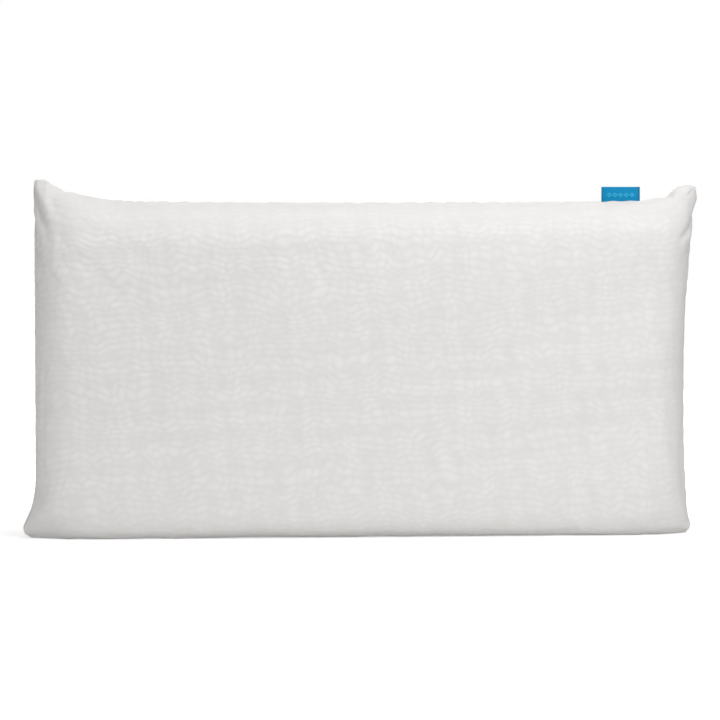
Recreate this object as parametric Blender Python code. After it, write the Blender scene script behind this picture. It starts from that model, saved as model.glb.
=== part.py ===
"""Bed pillow: a perforated foam core in a sewn liner, inside a zipped knit cover. Metres, +Z up.

The pillow stands on one long edge. X runs along its length, -Y is the front face and +Z is up.
The origin is at the middle of the edge that it stands on. The side zip is at -X.
"""

import math
from collections import namedtuple

import bmesh
import bpy
from mathutils import Matrix, Vector

MM = 0.001

# Driving dimensions of the cover, outside
BODY_LENGTH = 0.750  # from the zip side to the right-hand seam
BODY_HEIGHT = 0.387  # as it stands on its long edge
THICKNESS = 0.130  # at the crown of the two faces
EDGE_THICKNESS = 0.104  # where a face meets its rounded edge
CROWN_SURPLUS = 0.002  # the crown is cut off flat this much below its peak
EDGE_ROUND = 0.055  # how far the rounded edges reach into the faces
EDGE_SQUARENESS = 2.4  # exponent of the rounded edges' superellipse
FLOOR_PRESS = 0.008  # depth of the bottom edge that is pressed flat
ZIP_SIDE_PRESS = 0.0035  # depth of the zip side that is held back to a straight line
VALLEY_DEPTH = 0.005  # the zip lies this far below the two lips beside it
VALLEY_ENDS = (0.021, 0.378)  # heights where the valley has run out
VALLEY_FADE = 0.025  # length of its slope up to each end
TOP_SAG = 0.0025  # how far the top edge hangs at its middle
EAR_DEPTH = 0.050  # how far into the face a corner's ear is drawn out

# Fabric thicknesses, and the room between one piece and the next
COVER_WALL = 1.8 * MM
LINER_WALL = 0.8 * MM
COVER_ROOM = 3.0 * MM  # between cover and liner, for seams, zip and labels
GAP = 0.3 * MM  # between pieces that touch

# Facet lines round an edge, as shares of its quarter turn, then across the length and up the height
EDGE_TURN = (0, 0.1, 0.24, 0.42, 0.6, 0.8, 1)
EDGE_STEPS = len(EDGE_TURN) - 1
COLUMNS = 2 * EDGE_STEPS + 12
ROWS = 2 * EDGE_STEPS + 6

# Vents through the foam
VENT_RADIUS = 3 * MM
VENT_PITCH_X = 0.075
VENT_PITCH_Z = 0.058
VENT_COLUMNS = 9
VENT_ROWS = 5

# Side zip: a nylon coil on two woven tapes, in a slot of the cover
ZIP_LOW = 0.060
ZIP_HIGH = 0.345
ZIP_SLOT_HALF = 5.2 * MM
TAPE_HALF = 12 * MM
TAPE_OVERRUN = 8 * MM  # tape beyond each end of the coil
TAPE_THICK = 0.6 * MM
CHANNEL_HALF = 0.55 * MM  # the coils stand apart by twice this, for the slider's divider
COIL_HALF = 3.0 * MM
STOP_LENGTH = 3.0 * MM
SLIDER_LENGTH = 13 * MM
SLIDER_HALF = 4.8 * MM
SLIDER_PLATE = 1.3 * MM
SLIDER_KEEL = 0.9 * MM
SLIDER_TRAVEL = 0.255
DIVIDER_HALF = 0.25 * MM
BAIL_HALF = 0.7 * MM
BAIL_WALL = 0.8 * MM
BAIL_ROOM = 1.9 * MM  # under the bail
BAIL_WINDOW_HALF = 1.7 * MM
PULL_LENGTH = 27 * MM
PULL_HALF = 3.2 * MM
PULL_THICK = 1.2 * MM
EYE_HALF = 1.0 * MM
EYE_WALL = 1.2 * MM
EYE_LENGTH = 4.4 * MM
STITCH_OFF = 8.0 * MM  # a topstitch row's distance from the middle of the zip
THREAD = 0.5 * MM
TACK_OVERRUN = 4 * MM  # stitching beyond each end of the zip
TACK_HALF = 6.5 * MM
TACK_HIGH = 2.0 * MM

OVERLOCK_THICK = 1.3 * MM

# Labels
BRAND_LABEL_X = 0.3015
BRAND_LABEL_WIDTH = 0.045
BRAND_LABEL_STANDS = 0.0165
BRAND_LABEL_TAIL = 3.3 * MM
RIBBON = 0.35 * MM
CARE_LABEL_LEFT = -0.300
CARE_LABEL_WIDTH = 0.034

# The front and back halves of what comes in pairs, and the side of the seam that each is on
SIDES = (("front", -1), ("back", 1))

# An ear: how far a corner is drawn out sideways and upwards, and how far along each seam that reaches
Ear = namedtuple("Ear", "out side_reach up seam_reach")
COVER_EARS = {
    (-1, 1): Ear(out=0.0020, side_reach=0.042, up=0.0240, seam_reach=0.100),
    (1, 1): Ear(out=0.0125, side_reach=0.140, up=0.0200, seam_reach=0.080),
    (-1, -1): Ear(out=0.0125, side_reach=0.055, up=0.0, seam_reach=0.060),
    (1, -1): Ear(out=0.0095, side_reach=0.080, up=0.0, seam_reach=0.060),
}
LINER_CORNER = Ear(out=-0.004, side_reach=0.050, up=-0.004, seam_reach=0.050)
CORE_CORNER = Ear(out=-0.016, side_reach=0.060, up=-0.016, seam_reach=0.060)

# A layer is a copy of the pillow's outer form, set in by a depth, with corners of its own
Layer = namedtuple("Layer", "depth ears")


def cover_layer(depth):
    """A surface of the cover or of what lies against it."""
    return Layer(depth, COVER_EARS)


LINER_DEPTH = COVER_WALL + COVER_ROOM
CORE_DEPTH = LINER_DEPTH + LINER_WALL + GAP
LINER_OUTSIDE = Layer(LINER_DEPTH, dict.fromkeys(COVER_EARS, LINER_CORNER))
LINER_INSIDE = Layer(LINER_DEPTH + LINER_WALL, dict.fromkeys(COVER_EARS, LINER_CORNER))
CORE_SURFACE = Layer(CORE_DEPTH, dict.fromkeys(COVER_EARS, CORE_CORNER))

# Depths below the cover's outer face, on the floor of the zip's valley
ZIP_SIDE_X = -BODY_LENGTH / 2 + VALLEY_DEPTH
TAPE_TOP = COVER_WALL + GAP
TAPE_BACK = TAPE_TOP + TAPE_THICK
COIL_TOP = -GAP
COIL_BACK = TAPE_TOP - GAP
PLATE_BACK = COIL_TOP - GAP
PLATE_TOP = PLATE_BACK - SLIDER_PLATE
SLIDER_Z = ZIP_HIGH - STOP_LENGTH - GAP - SLIDER_LENGTH / 2
PULL_PIVOT = Vector((ZIP_SIDE_X + PLATE_TOP - 1.0 * MM, 0, SLIDER_Z))


def clear_scene():
    for obj in list(bpy.data.objects):
        bpy.data.objects.remove(obj)


def material(name, colour, roughness, metallic=0.0):
    made = bpy.data.materials.new(name)
    made.use_nodes = True
    shader = made.node_tree.nodes["Principled BSDF"]
    shader.inputs["Base Color"].default_value = (*colour, 1.0)
    shader.inputs["Roughness"].default_value = roughness
    shader.inputs["Metallic"].default_value = metallic
    return made


def finish(name, bm, surface, parent=None):
    """Turns the bmesh into the object NAME, with its faces pointing out."""
    bmesh.ops.recalc_face_normals(bm, faces=bm.faces)
    if bm.calc_volume(signed=True) < 0:
        bmesh.ops.reverse_faces(bm, faces=bm.faces)
    mesh = bpy.data.meshes.new(name)
    bm.to_mesh(mesh)
    bm.free()
    mesh.materials.append(surface)
    obj = bpy.data.objects.new(name, mesh)
    bpy.context.scene.collection.objects.link(obj)
    if parent is not None:
        obj.parent = parent
        obj.matrix_parent_inverse = parent.matrix_world.inverted()
    return obj


def shade_round(obj, degrees=40):
    obj.data.shade_smooth()
    obj.data.set_sharp_from_angle(angle=math.radians(degrees))


def block(bm, low, high):
    """Adds a box between two corners."""
    low, high = Vector(low), Vector(high)
    made = bmesh.ops.create_cube(bm, size=1.0)
    bmesh.ops.scale(bm, vec=high - low, verts=made["verts"])
    bmesh.ops.translate(bm, vec=(low + high) / 2, verts=made["verts"])
    return made["verts"]


def bevel_along(bm, verts, axis, width, segments=2):
    """Rounds a box's edges that run along one axis."""
    edges = {e for v in verts for e in v.link_edges}
    along = [e for e in edges if abs((e.verts[0].co - e.verts[1].co).normalized()[axis]) > 0.99]
    bmesh.ops.bevel(
        bm, geom=along, offset=width, segments=segments, profile=0.5, affect="EDGES", material=-1
    )


def cut(obj, cutter):
    """Takes the cutter out of the object with an exact Boolean."""
    cutter.hide_render = True
    cutter.display_type = "WIRE"
    modifier = obj.modifiers.new("cut_" + cutter.name, "BOOLEAN")
    modifier.operation = "DIFFERENCE"
    modifier.solver = "EXACT"
    modifier.object = cutter


def join(obj, tool):
    """Adds the tool's shape to the object with an exact Boolean."""
    tool.hide_render = True
    tool.display_type = "WIRE"
    modifier = obj.modifiers.new("join_" + tool.name, "BOOLEAN")
    modifier.operation = "UNION"
    modifier.solver = "EXACT"
    modifier.object = tool


# The pillow's form


def edge_point(step, rounding):
    """How far in from the edge a facet line lies, and the share of the thickness reached there."""
    angle = math.pi / 2 * EDGE_TURN[step]
    power = 2 / EDGE_SQUARENESS
    return rounding * (1 - math.cos(angle) ** power), math.sin(angle) ** power


def facet_line(step, steps, low, high, rounding):
    """Where a whole-numbered facet line lies between two edges, and its share of the thickness."""
    if step <= EDGE_STEPS:
        inward, share = edge_point(step, rounding)
        return low + inward, share
    if step >= steps - EDGE_STEPS:
        inward, share = edge_point(steps - step, rounding)
        return high - inward, share
    along = (step - EDGE_STEPS) / (steps - 2 * EDGE_STEPS)
    return low + rounding + along * (high - low - 2 * rounding), 1.0


def station(step, steps, low, high, rounding):
    """The same for any step, on the straight chord between two facet lines."""
    first = min(int(step), steps - 1)
    part = step - first
    here = facet_line(first, steps, low, high, rounding)
    there = facet_line(first + 1, steps, low, high, rounding)
    return tuple(a + part * (b - a) for a, b in zip(here, there))


def falloff(distance, reach):
    """1 at no distance, easing down to 0 at the reach."""
    return (1 - min(max(distance / reach, 0.0), 1.0)) ** 2


def ear_shift(x, z, layer, low, high):
    """How far the four corners draw this point out of the plain rectangle."""
    shift = Vector((0, 0, 0))
    for (sx, sz), ear in layer.ears.items():
        dx = high[0] - x if sx > 0 else x - low[0]
        dz = high[1] - z if sz > 0 else z - low[1]
        shift.x += sx * ear.out * falloff(dz, ear.side_reach) * falloff(dx, EAR_DEPTH)
        shift.z += sz * ear.up * falloff(dx, ear.seam_reach) * falloff(dz, EAR_DEPTH)
    return shift


def half_thickness(x, z):
    """Half the thickness of the crowned body, before its edges are rounded."""
    across = x / (BODY_LENGTH / 2)
    up = (z - BODY_HEIGHT / 2) / (BODY_HEIGHT / 2)
    bulge = max(0.0, 1 - across**2) * max(0.0, 1 - up**2)
    rise = (THICKNESS - EDGE_THICKNESS) / 2 + CROWN_SURPLUS
    return min(EDGE_THICKNESS / 2 + rise * bulge, THICKNESS / 2) - GAP / 2


def valley(column, z):
    """How far the zip's side is drawn in at a column near its seam, and at a height."""
    across = min(max(2 - column, 0.0), 1.0)
    run = min(z - VALLEY_ENDS[0], VALLEY_ENDS[1] - z) / VALLEY_FADE
    return VALLEY_DEPTH * across * min(max(run, 0.0), 1.0)


def form_point(column, row, layer, side):
    """A point of a layer: column 0 to COLUMNS, row 0 to ROWS, side -1 in front and 1 behind."""
    depth = layer.depth
    low = (-BODY_LENGTH / 2 + depth, depth)
    high = (BODY_LENGTH / 2 - depth, BODY_HEIGHT - depth)
    rounding = EDGE_ROUND - depth
    share_x = station(column, COLUMNS, low[0], high[0], rounding)[1]
    share_z = station(row, ROWS, low[1], high[1], rounding)[1]
    x = station(column, COLUMNS, low[0] - ZIP_SIDE_PRESS * share_z, high[0], rounding)[0]
    z = station(row, ROWS, low[1] - FLOOR_PRESS * share_x, high[1], rounding)[0]
    y = (half_thickness(x, z) - depth) * share_x * share_z
    shift = ear_shift(x, z, layer, low, high)
    sag = TOP_SAG * max(0.0, 1 - (x / (BODY_LENGTH / 2)) ** 2) * max(z, 0.0) / BODY_HEIGHT
    x = max(x, low[0]) + shift.x + valley(column, z)
    z = max(z + shift.z - sag, low[1])
    return Vector((x, side * (y + GAP / 2), z))


def slab(name, outside, inside, columns, rows, surface):
    """A closed solid between outside(u, v) and inside(u, v), where u and v run from 0 to 1."""
    bm = bmesh.new()
    borders = []
    for height in (1, -1):
        place = Matrix.Translation((0, 0, height))
        grid = bmesh.ops.create_grid(
            bm, x_segments=columns, y_segments=rows, size=1.0, matrix=place
        )
        edges = {e for v in grid["verts"] for e in v.link_edges}
        borders += [e for e in edges if e.is_boundary]
    bmesh.ops.triangulate(bm, faces=bm.faces, quad_method="FIXED")
    bmesh.ops.bridge_loops(bm, edges=borders)
    bmesh.ops.triangulate(bm, faces=bm.faces, quad_method="FIXED")
    for v in bm.verts:
        place = outside if v.co.z > 0 else inside
        v.co = place((v.co.x + 1) / 2, (v.co.y + 1) / 2)
    return finish(name, bm, surface)


def panel(name, outer, inner, side, surface):
    """One half of a sewn bag: a thin shell from the seam plane over its face."""

    def on(layer):
        return lambda u, v: form_point(u * COLUMNS, v * ROWS, layer, side)

    obj = slab(name, on(outer), on(inner), COLUMNS, ROWS, surface)
    shade_round(obj)
    return obj


def patch(name, outer, inner, side, columns, rows, cells, surface):
    """A strip that follows the form, between two column and two row values."""

    def on(layer):
        def place(u, v):
            column = columns[0] + u * (columns[1] - columns[0])
            row = rows[0] + v * (rows[1] - rows[0])
            return form_point(column, row, layer, side)

        return place

    return slab(name, on(outer), on(inner), cells[0], cells[1], surface)


# Foam core and liner


def foam_core(surface):
    def on(side):
        return lambda u, v: form_point(u * COLUMNS, v * ROWS, CORE_SURFACE, side)

    core = slab("foam_core", on(-1), on(1), COLUMNS, ROWS, surface)
    shade_round(core)
    bm = bmesh.new()
    for column in range(VENT_COLUMNS):
        for row in range(VENT_ROWS):
            x = (column - (VENT_COLUMNS - 1) / 2) * VENT_PITCH_X
            z = BODY_HEIGHT / 2 + (row - (VENT_ROWS - 1) / 2) * VENT_PITCH_Z
            turn = Matrix.Translation((x, 0, z)) @ Matrix.Rotation(math.pi / 2, 4, "X")
            bmesh.ops.create_cone(
                bm, cap_ends=True, segments=8, radius1=VENT_RADIUS, radius2=VENT_RADIUS,
                depth=2 * THICKNESS, matrix=turn,
            )
    cut(core, finish("vent_cutter", bm, surface))
    return core


def liner(surface):
    for where, side in SIDES:
        panel("liner_" + where, LINER_OUTSIDE, LINER_INSIDE, side, surface)


# Cover


def cover(surface):
    """The two knit panels, with a slot for the zip and one for the label's tail."""
    zip_slot = bmesh.new()
    end_room = 2 * MM
    block(
        zip_slot,
        *zip_box(
            (-VALLEY_DEPTH, -ZIP_SLOT_HALF, ZIP_LOW - end_room),
            (COVER_WALL + GAP, ZIP_SLOT_HALF, ZIP_HIGH + end_room),
        ),
    )
    zip_cutter = finish("zip_slot_cutter", zip_slot, surface)
    label_slot = bmesh.new()
    half_wide = BRAND_LABEL_WIDTH / 2 + GAP
    half_thick = label_thickness() / 2 + GAP
    block(
        label_slot,
        (BRAND_LABEL_X - half_wide, -half_thick, BODY_HEIGHT - TOP_SAG - 2 * COVER_WALL),
        (BRAND_LABEL_X + half_wide, half_thick, BODY_HEIGHT + BRAND_LABEL_STANDS),
    )
    label_cutter = finish("label_slot_cutter", label_slot, surface)
    for where, side in SIDES:
        half_cover = panel("cover_" + where, cover_layer(0), cover_layer(COVER_WALL), side, surface)
        cut(half_cover, zip_cutter)
        cut(half_cover, label_cutter)


def overlocked_seams(surface):
    """The overlocked edges of both panels, folded to the back along three sides."""
    outer, inner = cover_layer(COVER_WALL + GAP), cover_layer(COVER_WALL + GAP + OVERLOCK_THICK)
    near, far = 0.04, 0.75  # shares of the first facet, from the seam plane backwards
    middle = (EDGE_STEPS, COLUMNS - EDGE_STEPS)
    uprights = (EDGE_STEPS, ROWS - EDGE_STEPS)
    across, up = middle[1] - middle[0], uprights[1] - uprights[0]
    patch("overlock_bottom", outer, inner, 1, middle, (near, far), (across, 1), surface)
    patch("overlock_top", outer, inner, 1, middle, (ROWS - far, ROWS - near), (across, 1), surface)
    patch(
        "overlock_right", outer, inner, 1, (COLUMNS - far, COLUMNS - near), uprights, (1, up), surface
    )


# Zip


def zip_box(low, high):
    """Corners of a box at the zip, given as depth below the cover's face, y and z."""
    return (ZIP_SIDE_X + low[0], low[1], low[2]), (ZIP_SIDE_X + high[0], high[1], high[2])


def zip_bar(name, low, high, surface, axis=2, bevel=0.5 * MM, segments=2):
    """A bar at the zip, rounded along one axis."""
    bm = bmesh.new()
    bevel_along(bm, block(bm, *zip_box(low, high)), axis, bevel, segments)
    shade_round(finish(name, bm, surface))


def zip_tapes(surface):
    low_z, high_z = ZIP_LOW - TAPE_OVERRUN, ZIP_HIGH + TAPE_OVERRUN
    for where, side in SIDES:
        edges = sorted((side * CHANNEL_HALF, side * TAPE_HALF))
        bm = bmesh.new()
        block(bm, *zip_box((TAPE_TOP, edges[0], low_z), (TAPE_BACK, edges[1], high_z)))
        finish("zip_tape_" + where, bm, surface)


def zip_coils_and_stops(coil, metal):
    """Two coils, a crimped stop on each above the slider, and one stop across both at the bottom."""
    coil_low, coil_high = ZIP_LOW + STOP_LENGTH + GAP, ZIP_HIGH - STOP_LENGTH - GAP
    for where, side in SIDES:
        near, far = sorted((side * CHANNEL_HALF, side * COIL_HALF))
        zip_bar(
            "zip_coil_" + where, (COIL_TOP, near, coil_low), (COIL_BACK, far, coil_high), coil,
            bevel=0.7 * MM,
        )
        zip_bar(
            "zip_top_stop_" + where,
            (COIL_TOP, near, ZIP_HIGH - STOP_LENGTH),
            (COIL_BACK, far, ZIP_HIGH),
            metal,
        )
    zip_bar(
        "zip_bottom_stop",
        (COIL_TOP, -COIL_HALF, ZIP_LOW),
        (COIL_BACK, COIL_HALF, ZIP_LOW + STOP_LENGTH),
        metal,
    )


def zip_stitching(surface):
    """The two rows that hold the tapes, and a bar tack across each end of the slot."""
    below, above = -GAP - THREAD, -GAP
    low_z, high_z = ZIP_LOW - TACK_OVERRUN, ZIP_HIGH + TACK_OVERRUN
    for where, side in SIDES:
        middle = side * STITCH_OFF
        zip_bar(
            "zip_topstitch_" + where,
            (below, middle - THREAD / 2, low_z),
            (above, middle + THREAD / 2, high_z),
            surface,
            bevel=THREAD / 4,
            segments=1,
        )
    for name, foot in (("bar_tack_bottom", low_z), ("bar_tack_top", high_z - TACK_HIGH)):
        zip_bar(
            name,
            (below, -TACK_HALF, foot),
            (above, TACK_HALF, foot + TACK_HIGH),
            surface,
            axis=1,
            bevel=THREAD / 4,
            segments=1,
        )


def zip_slider(surface, parent):
    """Two plates joined by a divider between the coils, with flanges and a bail for the pull."""
    low_z, high_z = SLIDER_Z - SLIDER_LENGTH / 2, SLIDER_Z + SLIDER_LENGTH / 2
    keel_top = TAPE_BACK + GAP
    corner = 2 * MM
    bite = 0.4 * MM  # how far joined shapes run into each other
    bm = bmesh.new()
    verts = block(bm, *zip_box((PLATE_TOP, -SLIDER_HALF, low_z), (PLATE_BACK, SLIDER_HALF, high_z)))
    bevel_along(bm, verts, axis=0, width=corner)
    slider = finish("zip_slider", bm, surface, parent)

    def add(name, low, high, axis=None, bevel=0.0):
        tool = bmesh.new()
        made = block(tool, *zip_box(low, high))
        if axis is not None:
            bevel_along(tool, made, axis, bevel)
        join(slider, finish(name, tool, surface, parent))

    keel_back = keel_top + SLIDER_KEEL
    add(
        "slider_keel_tool", (keel_top, -SLIDER_HALF, low_z), (keel_back, SLIDER_HALF, high_z), 0, corner
    )
    add(
        "slider_divider_tool",
        (PLATE_BACK - bite, -DIVIDER_HALF, high_z - 4 * MM),
        (keel_top + bite, DIVIDER_HALF, high_z - 1 * MM),
    )
    for where, side in SIDES:
        near, far = sorted((side * (COIL_HALF + GAP), side * SLIDER_HALF))
        add(
            "slider_flange_tool_" + where,
            (PLATE_BACK - bite, near, low_z + corner),
            (COIL_BACK, far, high_z - corner),
        )
    bail_top = PLATE_TOP - BAIL_ROOM - BAIL_WALL
    bail_reach = BAIL_WINDOW_HALF + BAIL_WALL
    add(
        "slider_bail_tool",
        (bail_top, -BAIL_HALF, SLIDER_Z - bail_reach),
        (PLATE_TOP + bite, BAIL_HALF, SLIDER_Z + bail_reach),
        1,
        0.9 * MM,
    )
    window = bmesh.new()
    block(
        window,
        *zip_box(
            (PLATE_TOP - BAIL_ROOM, -2 * BAIL_HALF, SLIDER_Z - BAIL_WINDOW_HALF),
            (PLATE_TOP, 2 * BAIL_HALF, SLIDER_Z + BAIL_WINDOW_HALF),
        ),
    )
    cut(slider, finish("slider_bail_window_cutter", window, surface, parent))


def zip_pull(surface, parent):
    """A flat tab whose eye hangs on the slider's bail, from a parent on the hinge's axis."""
    half = PULL_THICK / 2
    x, z = PULL_PIVOT.x, PULL_PIVOT.z
    eye_foot = z - EYE_LENGTH
    arm_half = EYE_HALF + EYE_WALL

    bm = bmesh.new()
    verts = block(bm, (x - half, -PULL_HALF, z - PULL_LENGTH), (x + half, PULL_HALF, eye_foot + 1 * MM))
    bevel_along(bm, verts, axis=0, width=PULL_HALF / 2, segments=3)
    pull = finish("zip_pull", bm, surface, parent)

    arms = bmesh.new()
    verts = block(arms, (x - half, -arm_half, eye_foot - 1 * MM), (x + half, arm_half, z + half))
    bevel_along(arms, verts, axis=1, width=0.45 * MM)
    join(pull, finish("pull_arms_tool", arms, surface, parent))

    def cut_through(name, half_wide, low_z, high_z):
        window = bmesh.new()
        block(window, (x - PULL_THICK, -half_wide, low_z), (x + PULL_THICK, half_wide, high_z))
        cut(pull, finish(name, window, surface, parent))

    grip_foot = z - PULL_LENGTH + 4 * MM
    cut_through("pull_eye_cutter", EYE_HALF, eye_foot, z - 0.5 * MM)
    cut_through("pull_grip_cutter", PULL_HALF / 2, grip_foot, grip_foot + 9 * MM)


# Labels


def label_thickness():
    """A folded ribbon: two layers and a little air between them."""
    return 2 * RIBBON + 0.2 * MM


def brand_label(surface):
    """A folded ribbon caught in the top seam: a U in section, run along X."""
    outer, inner = label_thickness() / 2, label_thickness() / 2 - RIBBON
    low, high = BODY_HEIGHT - BRAND_LABEL_TAIL, BODY_HEIGHT + BRAND_LABEL_STANDS
    bend = high - outer
    arc = [math.pi * k / 6 for k in range(7)]
    outline = [(outer * math.cos(a), bend + outer * math.sin(a)) for a in arc]
    outline += [(-outer, low), (-inner, low)]
    outline += [(inner * math.cos(a), bend + inner * math.sin(a)) for a in reversed(arc)]
    outline += [(inner, low), (outer, low)]
    bm = bmesh.new()
    start = BRAND_LABEL_X - BRAND_LABEL_WIDTH / 2
    verts = [bm.verts.new((start, y, z)) for y, z in outline]
    face = bm.faces.new(verts)
    swept = bmesh.ops.extrude_face_region(bm, geom=[face])
    moved = [v for v in swept["geom"] if isinstance(v, bmesh.types.BMVert)]
    bmesh.ops.translate(bm, vec=(BRAND_LABEL_WIDTH, 0, 0), verts=moved)
    finish("brand_label", bm, surface)


def care_label(surface):
    """A satin tape caught in the top seam, hanging down inside the back panel."""
    outer, inner = cover_layer(LINER_DEPTH - 1.1 * MM), cover_layer(LINER_DEPTH - 0.7 * MM)
    pitch = (BODY_LENGTH + ZIP_SIDE_PRESS - 2 * EDGE_ROUND) / (COLUMNS - 2 * EDGE_STEPS)
    first = EDGE_STEPS + (CARE_LABEL_LEFT + BODY_LENGTH / 2 + ZIP_SIDE_PRESS - EDGE_ROUND) / pitch
    columns = (first, first + CARE_LABEL_WIDTH / pitch)
    patch("care_label", outer, inner, 1, columns, (ROWS - 5, ROWS - 0.06), (1, 5), surface)


def main():
    clear_scene()
    knit = material("cover_knit", (0.86, 0.85, 0.84), 0.9)
    jersey = material("liner_jersey", (0.82, 0.82, 0.80), 0.9)
    foam = material("foam", (0.90, 0.86, 0.70), 0.95)
    thread = material("white_thread", (0.88, 0.88, 0.87), 0.7)
    tape = material("zip_tape", (0.84, 0.84, 0.83), 0.85)
    coil = material("zip_nylon", (0.86, 0.86, 0.85), 0.4)
    metal = material("zip_metal", (0.62, 0.62, 0.63), 0.3, metallic=1.0)
    blue = material("label_ribbon", (0.015, 0.32, 0.58), 0.6)
    satin = material("care_satin", (0.90, 0.90, 0.90), 0.45)

    foam_core(foam)
    liner(jersey)
    cover(knit)
    overlocked_seams(thread)
    zip_tapes(tape)
    zip_coils_and_stops(coil, metal)
    zip_stitching(thread)
    brand_label(blue)
    care_label(satin)

    slide = bpy.data.objects.new("slider_place", None)
    slide.location = (ZIP_SIDE_X, 0, SLIDER_Z)
    hinge = bpy.data.objects.new("pull_hinge", None)
    hinge.location = PULL_PIVOT
    for empty in (slide, hinge):
        bpy.context.scene.collection.objects.link(empty)
    bpy.context.view_layer.update()
    zip_slider(metal, slide)
    zip_pull(metal, hinge)


main()
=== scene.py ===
"""The looks of the bed pillow: a knit cover with drawn-out corners, a folded label and a side zip."""

import math
from collections import namedtuple

import bmesh
import bpy
import numpy as np
from mathutils import Matrix, Vector


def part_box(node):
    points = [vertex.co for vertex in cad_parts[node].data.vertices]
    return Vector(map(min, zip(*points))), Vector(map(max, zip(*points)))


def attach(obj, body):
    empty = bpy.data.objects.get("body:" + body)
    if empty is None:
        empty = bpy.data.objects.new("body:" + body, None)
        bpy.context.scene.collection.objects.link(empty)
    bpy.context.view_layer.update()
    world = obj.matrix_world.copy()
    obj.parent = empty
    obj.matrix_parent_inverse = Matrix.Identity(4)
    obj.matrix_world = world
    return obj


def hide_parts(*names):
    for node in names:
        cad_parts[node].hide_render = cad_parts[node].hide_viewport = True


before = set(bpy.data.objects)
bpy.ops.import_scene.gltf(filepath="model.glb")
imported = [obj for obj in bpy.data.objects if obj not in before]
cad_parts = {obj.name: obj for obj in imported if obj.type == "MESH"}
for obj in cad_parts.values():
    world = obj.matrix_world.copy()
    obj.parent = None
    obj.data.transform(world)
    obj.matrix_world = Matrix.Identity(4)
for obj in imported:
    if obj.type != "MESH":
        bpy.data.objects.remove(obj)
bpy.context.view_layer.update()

MM = 0.001

# The cover's plain body, without its ears, from the frame
EAR_OUT = 12.5 * MM
EAR_RISE = 24 * MM
cover_low, cover_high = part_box("cover_front")
HALF_LENGTH = (cover_high.x - cover_low.x) / 2 - EAR_OUT
TOP = cover_high.z - EAR_RISE
CROWN_HALF = -cover_low.y - 0.5 * MM
CROWN_FULLNESS = 0.8
EDGE_HALF = 52 * MM
EDGE_ROUND = 52 * MM
EDGE_SQUARENESS = 2.4
EDGE_SAMPLES = 400

# How far the cloth gives way on the floor, at the zip's side and along the top, the distance over
# which the first two fade, and how gently their flat parts end
FLOOR_PRESS = 8 * MM
FLOOR_EASE = 1.2 * MM
ZIP_SIDE_PRESS = 3.5 * MM
ZIP_SIDE_EASE = 0.8 * MM
PRESS_REACH = 0.15
TOP_SAG = 2.9 * MM
FLOOR_GAP = 0.1 * MM

# The zip's valley and the slot in it that shows the coils, from the frame; each pair of distances
# is a fade: in from the side, out from the seam, and up the pillow's height
coil_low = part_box("zip_coil_front")[0]
VALLEY_X = coil_low.x + 0.3 * MM
VALLEY_SIDE_FADE = (12 * MM, 4 * MM)
VALLEY_HALF_FADE = (10 * MM, 20 * MM)
VALLEY_FOOT_FADE = (0.021, 0.046)
VALLEY_HEAD_FADE = (0.353, 0.378)
SLOT_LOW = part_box("zip_bottom_stop")[0].z - 2 * MM
SLOT_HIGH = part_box("zip_top_stop_front")[1].z + 2 * MM
SLOT_FOOT_FADE = (SLOT_LOW - 1 * MM, SLOT_LOW + 2 * MM)
SLOT_HEAD_FADE = (SLOT_HIGH - 2 * MM, SLOT_HIGH + 1 * MM)
SLOT_HALF = 4.9 * MM
SLOT_DEPTH = 11 * MM

# The label, from the frame, and the room that the panels leave for it
label_low, label_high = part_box("brand_label")
label_half = (label_high.x - label_low.x) / 2
LABEL_ROOM = 0.45 * MM
LABEL_ROOM_MARGIN = 5 * MM
LABEL_ROOM_DEPTH = 8 * MM
LABEL_ROOM_FADE = (TOP - 12 * MM, TOP - 6 * MM)

# The label's ribbon: how tightly it folds over, how much of its thickness it fills at the seam,
# how far it bellies and leans, and the lozenges woven into it
RIBBON_THICK = 0.3 * MM
RIBBON_ROWS, RIBBON_COLUMNS = 48, 40
RIBBON_FOLD = 1.6
RIBBON_FILL = 0.55
RIBBON_BELLY = 0.9
RIBBON_LEAN = 0.5 * MM
RIBBON_RIB = 0.45 * MM
RIBBON_SELVEDGE = 2.2 * MM
LABEL_BOW = 1.3 * MM
LOZENGE = 6.6 * MM
LOZENGE_HALF = 2.7 * MM
LOZENGE_HOLE = 0.35
LOZENGE_COUNT = 5
LOZENGE_Z = TOP + 6.2 * MM

# Cloth cells of the coarse panel; the finished cloth has twice as many each way
CELL = 3.6 * MM
EDGE_CELLS = 30
SEAM_CROWDING = 1.25
PANEL_DEPTH = 3.1 * MM

# The seam between the panels: half its gap, the groove it lies in, the puckers beside it, and the
# distances from a corner over which both begin
SEAM_HALF = 0.15 * MM
SEAM_GROOVE = 1.8 * MM
SEAM_GROOVE_WIDTH = 2.4 * MM
SEAM_TIP_FADE = (4 * MM, 18 * MM)
PUCKER_RISE = 0.9 * MM
PUCKER_SPACING = 17 * MM
PUCKER_REACH = 9 * MM
PUCKER_STRETCH = 0.3
SLOT_IS_FREE = 60 * MM

# Broad lumps in the cloth, and the fade of all relief towards the floor
LUMP_RISE = 0.9 * MM
LUMP_SIZE = 150 * MM
LUMP_FADE = (5 * MM, 60 * MM)
FLOOR_FADE = (-1 * MM, 6 * MM)

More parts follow.
